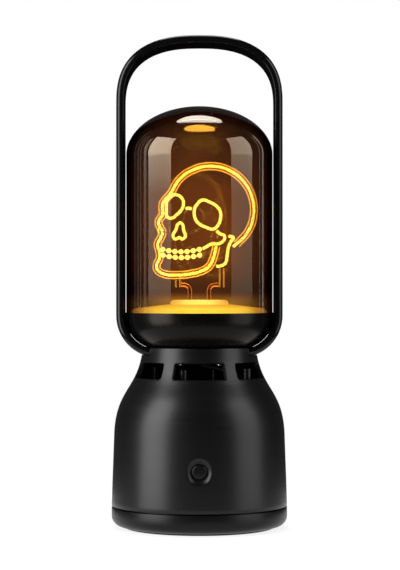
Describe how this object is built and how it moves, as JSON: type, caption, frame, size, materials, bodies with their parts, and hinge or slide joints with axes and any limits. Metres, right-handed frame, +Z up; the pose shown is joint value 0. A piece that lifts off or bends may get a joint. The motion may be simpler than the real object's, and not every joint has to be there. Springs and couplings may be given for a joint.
{
  "type": "speaker night light",
  "caption": "Free-standing night light and speaker: bell-shaped base with sound slots and a push button, smoked glass dome over a glowing line skull, and a fixed carrying hoop.",
  "frame": {"origin": "on the table, under the middle of the round base", "axes": "+Z up, front with the button towards -Y, +X to the right seen from the front"},
  "size_m": [0.088, 0.088, 0.2453],
  "materials": {
    "shell_plastic": "soft-touch matte",
    "hoop_lacquer": "satin gloss",
    "button_plastic": "satin",
    "rubber": "matte",
    "screw_steel": "zinc plated",
    "switch_plastic": "moulded",
    "plunger_plastic": "moulded",
    "board_green": "solder mask",
    "board_white": "solder mask",
    "cell_wrap": "shrink wrap",
    "nickel": "nickel plated",
    "frame_paint": "powder coat",
    "pole_steel": "zinc plated",
    "ferrite": "ground",
    "coil_wire": "enamelled copper",
    "cone_paper": "pressed",
    "spider_cloth": "resin cloth",
    "wire_jacket": "extruded",
    "light_lens": "cast",
    "floor_amber": "satin",
    "puck_amber": "satin",
    "smoked_glass": "smoked, polished",
    "clear_tube": "clear",
    "lead_copper": "coated copper",
    "brace_wire": "drawn",
    "filament_glow": "silicone coated"
  },
  "bodies": {
    "lamp": {"base_shell": "shell_plastic", "neck_collar": "shell_plastic", "bottom_cover": "shell_plastic", "speaker_shelf": "shell_plastic", "neck_deck": "shell_plastic", "handle": "hoop_lacquer", "lamp_cup": "hoop_lacquer", "foot_ring": "rubber", "dome_gasket": "rubber", "speaker_gasket": "rubber", "speaker_surround": "rubber", "cover_screws": "screw_steel", "switch_screws": "screw_steel", "board_screws": "screw_steel", "speaker_screws": "screw_steel", "cup_screws": "screw_steel", "lamp_board_screws": "screw_steel", "tact_switch": "switch_plastic", "battery_cradle": "switch_plastic", "inlet_tongue": "switch_plastic", "board_components": "switch_plastic", "switch_board": "board_green", "main_board": "board_green", "lamp_board": "board_white", "battery_cell": "cell_wrap", "battery_tabs": "nickel", "inlet_shell": "nickel", "speaker_frame": "frame_paint", "speaker_yoke": "pole_steel", "speaker_top_plate": "pole_steel", "speaker_magnet": "ferrite", "speaker_spider": "spider_cloth", "lamp_wires": "wire_jacket", "floor_lights": "light_lens", "reflector_floor": "floor_amber", "filament_base": "puck_amber", "glass_dome": "smoked_glass", "outline_tube": "clear_tube", "left_riser": "clear_tube", "right_riser": "clear_tube", "left_lead": "lead_copper", "right_lead": "lead_copper", "nose_brace": "brace_wire", "outline_filament": "filament_glow", "jaw_filament": "filament_glow", "cheek_filament": "filament_glow", "left_eye_filament": "filament_glow", "right_eye_filament": "filament_glow", "bridge_filament": "filament_glow", "nose_filament": "filament_glow", "upper_teeth": "filament_glow", "lower_teeth": "filament_glow"},
    "button": {"power_button": "button_plastic", "switch_plunger": "plunger_plastic"},
    "cone": {"speaker_cone": "cone_paper", "dust_cap": "cone_paper", "voice_coil": "coil_wire"}
  },
  "joints": [
    {"name": "button_press", "type": "slide", "parent": "lamp", "child": "button", "axis": [0, 1, 0], "range_m": [0, 0.0005], "stiffness_N_per_m": 3000},
    {"name": "cone_stroke", "type": "slide", "parent": "lamp", "child": "cone", "axis": [0, 0, 1], "range_m": [-0.001, 0.001], "stiffness_N_per_m": 1000, "deforming": ["speaker_surround", "speaker_spider"]}
  ]
}
